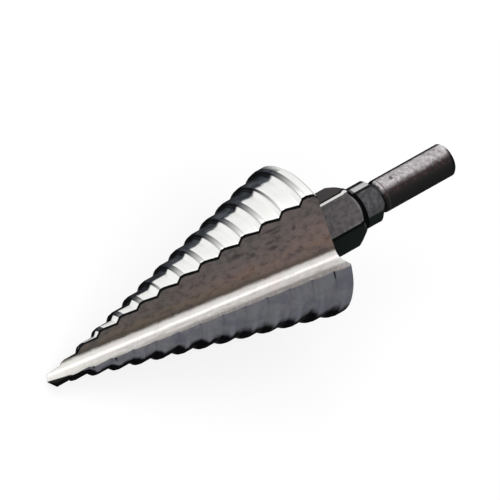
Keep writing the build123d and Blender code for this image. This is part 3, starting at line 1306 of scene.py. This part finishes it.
# A dent in the shank: its middle and half its reach, as turn in degrees and height in mm.
DENT_TURN = -70.5
DENT_HEIGHT = 116.1
DENT_HALF_TURN = 8.5
DENT_HALF_LENGTH = 0.55


def highlight_tone(s, sizes, finish, lines):
    """Mottled tone of the painted highlight along the shank."""
    height, turn = s.height, s.turn
    streak = s.noise((height * 0.8 + turn * -0.05, turn * 0.03, 1.0), 1.0, 4.0, 0.6)
    spots = s.noise((height * 1.1, turn * 0.11, 8.0), 1.0, 3.0, 0.6)
    glow = Coats(s, finish.oxide_highlight)
    glow.lay(SHINE_STREAK, streak.ramp(0.38, 0.62))
    glow.lay(SHINE_PALE_SPOT, spots.ramp(0.48, 0.68, 0.0, 0.7))
    glow.lay(SHINE_DARK_SPOT, spots.ramp(0.45, 0.3, 0.0, 0.6))
    glow.lay(SHINE_LINES, lines.ramp(0.45, 0.75, 0.0, 0.6))
    end = sizes.overall_length / MM
    glow.lay(SHINE_END, height.ramp(end - 2.7, end - 1.0, 0.0, 0.7))
    glow.lay(SHINE_EDGE, turn.ramp(-70.0, -42.0, 0.0, 0.4))
    return glow


def shank_finish(sizes, finish):
    """Turned black oxide shank, with a painted highlight along one side and painted shade."""
    s, cloud = oxide_shader("shank_oxide")
    height, turn = s.height, s.turn
    lines = s.noise(s.ring(0.7, 1.6), 1.0, 5.0, 0.65)
    waver = s.noise((height * 0.9, turn * 0.06, 5.0), 1.0, 4.0, 0.6)
    wavy_turn = turn + (waver - 0.5) * 26.0

    deep = Coats(s, SHANK_BROWN)
    # Painted shade: darker towards the lower side.
    deep.lay(SHANK_LOWER_SHADE, turn.ramp(-35.0, 5.0))
    deep.lay(SHANK_RED, wavy_turn.band(-46.0, -20.0, 12.0), waver.ramp(0.42, 0.62))
    tone = Coats(s, SHANK_UPPER)
    tone.lay(SHANK_UPPER_LINES, lines.ramp(0.3, 0.7))
    # Painted shade, black, along the upper outline.
    tone.lay(finish.black, turn.ramp(-110.0, -98.0, 0.95, 0.0))
    tone.lay(deep, turn.ramp(-100.0, -90.0))
    # Painted highlight along the upper side, in mottled tones.
    shine = turn.ramp(-103.0, -91.0) * wavy_turn.fall(-58.0, -32.0)
    tone.lay(highlight_tone(s, sizes, finish, lines), shine)
    # Painted faint highlight on the underside.
    tone.lay(SHANK_UNDER_HIGHLIGHT, abs(turn - 112.0).ramp(8.0, 36.0, 0.4, 0.0))

    start, end = sizes.shank_start / MM, sizes.overall_length / MM
    # Painted shade, black, near the rear end below the highlight.
    tone.lay(finish.black, height.ramp(end - 1.6, end - 0.7), turn.ramp(-72.0, -58.0), 0.85)
    face_radius = (sizes.shank_diameter / 2 - sizes.shank_chamfer) / MM
    end_face = s.radius.fall(face_radius - 0.56, face_radius - 0.06)
    tone.lay(s.mix(cloud.ramp(0.3, 0.7), END_FACE_DARK, END_FACE_PALE), end_face)
    tone.lay(SHANK_RING, height.band(start + 0.95, start + 1.25, 0.25), 0.65)
    tone.lay(finish.black, height.fall(start - 0.1, start + 0.1))
    dent_across = (turn - DENT_TURN) / DENT_HALF_TURN
    dent_along = (height - DENT_HEIGHT) / DENT_HALF_LENGTH
    dent = dent_across * dent_across + dent_along * dent_along
    tone.lay(SHANK_DENT, dent.ramp(0.4, 1.3, 0.8, 0.0))
    highlight_metal = shine * (1.0 - end_face)
    s.paint(tone.tone, highlight_metal * 0.55 + 0.08, cloud.ramp(0.3, 0.7, 0.33, 0.46))
    s.bump(s.mix(0.5, lines, cloud), 0.02, 0.4)
    return s.material


# Operators


class STEPDRILL_OT_cone(bpy.types.Operator):
    """Build the stepped cone with its flute and point"""

    bl_idname = "step_drill.cone"
    bl_label = "Stepped Cone"
    bl_options = {"REGISTER", "UNDO"}

    def execute(self, context):
        sizes = context.scene.step_drill_sizes
        finish = context.scene.step_drill_finish
        materials = [
            land_finish(sizes, finish),
            flute_finish(sizes, finish),
            rear_finish(finish),
        ]
        dress(lofted_cone(sizes, materials))
        return {"FINISHED"}


class STEPDRILL_OT_shank(bpy.types.Operator):
    """Build the black hex, collar and shank"""

    bl_idname = "step_drill.shank"
    bl_label = "Hex, Collar and Shank"
    bl_options = {"REGISTER", "UNDO"}

    def execute(self, context):
        sizes = context.scene.step_drill_sizes
        finish = context.scene.step_drill_finish
        for build, finished in (
            (hex_piece, hex_finish),
            (collar_piece, collar_finish),
            (shank_piece, shank_finish),
        ):
            dress(build(sizes, [finished(sizes, finish)]))
        return {"FINISHED"}


class STEPDRILL_OT_stage(bpy.types.Operator):
    """Set the pale floor, the soft light and the camera"""

    bl_idname = "step_drill.stage"
    bl_label = "Studio"
    bl_options = {"REGISTER", "UNDO"}

    def execute(self, context):
        floor(context.scene.step_drill_finish)
        world_light()
        key_lamp()
        camera(context.scene.step_drill_sizes)
        context.scene.view_settings.view_transform = "Standard"
        return {"FINISHED"}


# Studio

FLOOR_SIZE = 3.0
FLOOR_TILES = 8
# Grey of the floor where it is seen, which sets how much of a shadow shows. The light on it makes
# this share of that grey, and its own glow makes up the rest of its white.
FLOOR_SHADOW = 0.28
FLOOR_LIGHT = 0.94
FLOOR_WHITE = 1.02
WORLD_STRENGTH = 0.8
KEY_WIDTH, KEY_DEPTH = 0.6, 0.4
KEY_POWER = 2.0
KEY_PLACE = Vector((-0.2, 0.55, 0.6))
LENS = 1500.0
SENSOR = 36.0
NEAREST, FARTHEST = 0.1, 10.0
# Width of the view, and the depth beyond the point, away from the camera, at which it is taken.
FRAME_WIDTH = 133.87 * MM
MIDDLE_DEPTH = 28.0 * MM
# The way to the camera, in the drill's own frame.
TO_CAMERA = Vector((0.7514, -0.5068, -0.4226))
# Slope of the drill's axis across the view, and the middle of the view, from the point.
AXIS_TURN = radians(29.26)
AIM_RIGHT = 54.0 * MM
AIM_UP = 35.26 * MM


def floor(finish):
    """Plain pale floor, white where it is seen, with a faint shadow."""
    bm = bmesh.new()
    bmesh.ops.create_grid(
        bm, x_segments=FLOOR_TILES, y_segments=FLOOR_TILES, size=FLOOR_SIZE / 2
    )
    mesh = mesh_from(bm, "floor")
    s = Shader("pale_floor", specular=0.0)
    seen = s.seen()
    s.paint(s.mix(seen, finish.floor, (FLOOR_SHADOW,) * 3), 0.0, 0.9)
    s.feed(s.surface.inputs["Emission Color"], (1.0, 1.0, 1.0))
    glow = FLOOR_WHITE - FLOOR_LIGHT * FLOOR_SHADOW
    s.feed(s.surface.inputs["Emission Strength"], seen * glow)
    mesh.materials.append(s.material)
    plane = new_object("floor", mesh)


def world_light():
    """Even white world, a little weaker where it only gives light."""
    world = bpy.data.worlds.new("studio")
    bpy.context.scene.world = world
    world.use_nodes = True
    nodes = Nodes(world.node_tree)
    background = world.node_tree.nodes["Background"]
    nodes.feed(background.inputs["Color"], (1.0, 1.0, 1.0))
    level = nodes.seen() * (1.0 - WORLD_STRENGTH) + WORLD_STRENGTH
    nodes.feed(background.inputs["Strength"], level)


def key_lamp():
    """One large soft lamp above and behind."""
    lamp = bpy.data.lights.new("key", "AREA")
    lamp.shape = "RECTANGLE"
    lamp.size = KEY_WIDTH
    lamp.size_y = KEY_DEPTH
    lamp.energy = KEY_POWER
    key = new_object("key", lamp)
    key.location = KEY_PLACE
    key.rotation_mode = "QUATERNION"
    key.rotation_quaternion = (-KEY_PLACE).to_track_quat("-Z", "Y")


def camera(sizes):
    """Long lens looking down on the flute, with the drill's axis rising to the right."""
    turn = drill_frame(sizes)
    to_camera = (turn.to_3x3() @ TO_CAMERA).normalized()
    axis = turn.to_3x3() @ Vector((0, 0, 1))
    along = (axis - to_camera * axis.dot(to_camera)).normalized()
    across = to_camera.cross(along)
    right = along * cos(AXIS_TURN) - across * sin(AXIS_TURN)
    up = along * sin(AXIS_TURN) + across * cos(AXIS_TURN)
    aim = turn.translation + right * AIM_RIGHT + up * AIM_UP
    data = bpy.data.cameras.new("camera")
    data.lens = LENS
    data.sensor_width = SENSOR
    distance = FRAME_WIDTH * LENS / SENSOR - MIDDLE_DEPTH
    data.clip_start = NEAREST
    data.clip_end = FARTHEST
    view = new_object("camera", data)
    rotation = Matrix((right, up, to_camera)).transposed().to_4x4()
    view.matrix_world = Matrix.Translation(aim + to_camera * distance) @ rotation
    bpy.context.scene.camera = view


class VIEW3D_PT_step_drill(bpy.types.Panel):
    """Step drill builder"""

    bl_label = "Step Drill"
    bl_idname = "VIEW3D_PT_step_drill"
    bl_space_type = "VIEW_3D"
    bl_region_type = "UI"
    bl_category = "Step Drill"

    def draw(self, context):
        column = self.layout.column()
        for operator in OPERATORS:
            column.operator(operator.bl_idname)
        for group in (context.scene.step_drill_sizes, context.scene.step_drill_finish):
            box = column.box()
            for name in group.__annotations__:
                box.prop(group, name)


OPERATORS = (STEPDRILL_OT_cone, STEPDRILL_OT_shank, STEPDRILL_OT_stage)
CLASSES = (StepDrillSizes, StepDrillFinish, *OPERATORS, VIEW3D_PT_step_drill)


def register():
    for cls in CLASSES:
        bpy.utils.register_class(cls)
    bpy.types.Scene.step_drill_sizes = PointerProperty(type=StepDrillSizes)
    bpy.types.Scene.step_drill_finish = PointerProperty(type=StepDrillFinish)


def unregister():
    del bpy.types.Scene.step_drill_finish
    del bpy.types.Scene.step_drill_sizes
    for cls in reversed(CLASSES):
        bpy.utils.unregister_class(cls)


def main():
    register()
    bpy.ops.step_drill.cone()
    bpy.ops.step_drill.shank()
    bpy.ops.step_drill.stage()


if __name__ == "__main__":
    main()
